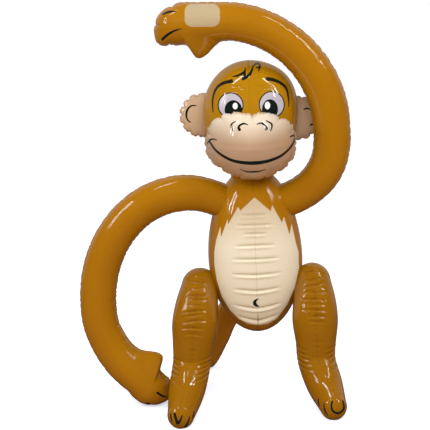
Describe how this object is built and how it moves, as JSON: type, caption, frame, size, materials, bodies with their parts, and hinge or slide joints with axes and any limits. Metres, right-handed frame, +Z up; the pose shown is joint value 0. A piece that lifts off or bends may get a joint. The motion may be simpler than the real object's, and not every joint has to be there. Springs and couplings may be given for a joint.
{
  "type": "inflatable monkey",
  "caption": "Standing inflatable toy monkey of glossy welded film, one long arm curved over its head and the other down to the floor.",
  "frame": {"origin": "middle of the bounding box, on the floor that the feet, the lowered hand and the tail rest on", "axes": "+Z up, the face towards -Y, +X to the right of a viewer who looks at the face"},
  "size_m": [0.437, 0.3548, 0.6416],
  "materials": {
    "orange_film": "glossy soft vinyl film, orange-brown, with printed belly, palm and ink lines",
    "peach_film": "glossy soft vinyl film, peach, with printed ink lines",
    "valve_vinyl": "clear soft vinyl, milky where it is thick"
  },
  "bodies": {
    "root": {"torso": "orange_film", "head": "orange_film", "muzzle": "peach_film", "left_ear": "peach_film", "right_ear": "peach_film", "raised_arm": "orange_film", "lowered_arm": "orange_film", "left_leg": "orange_film", "right_leg": "orange_film", "tail": "orange_film", "valve": "valve_vinyl"}
  },
  "joints": []
}
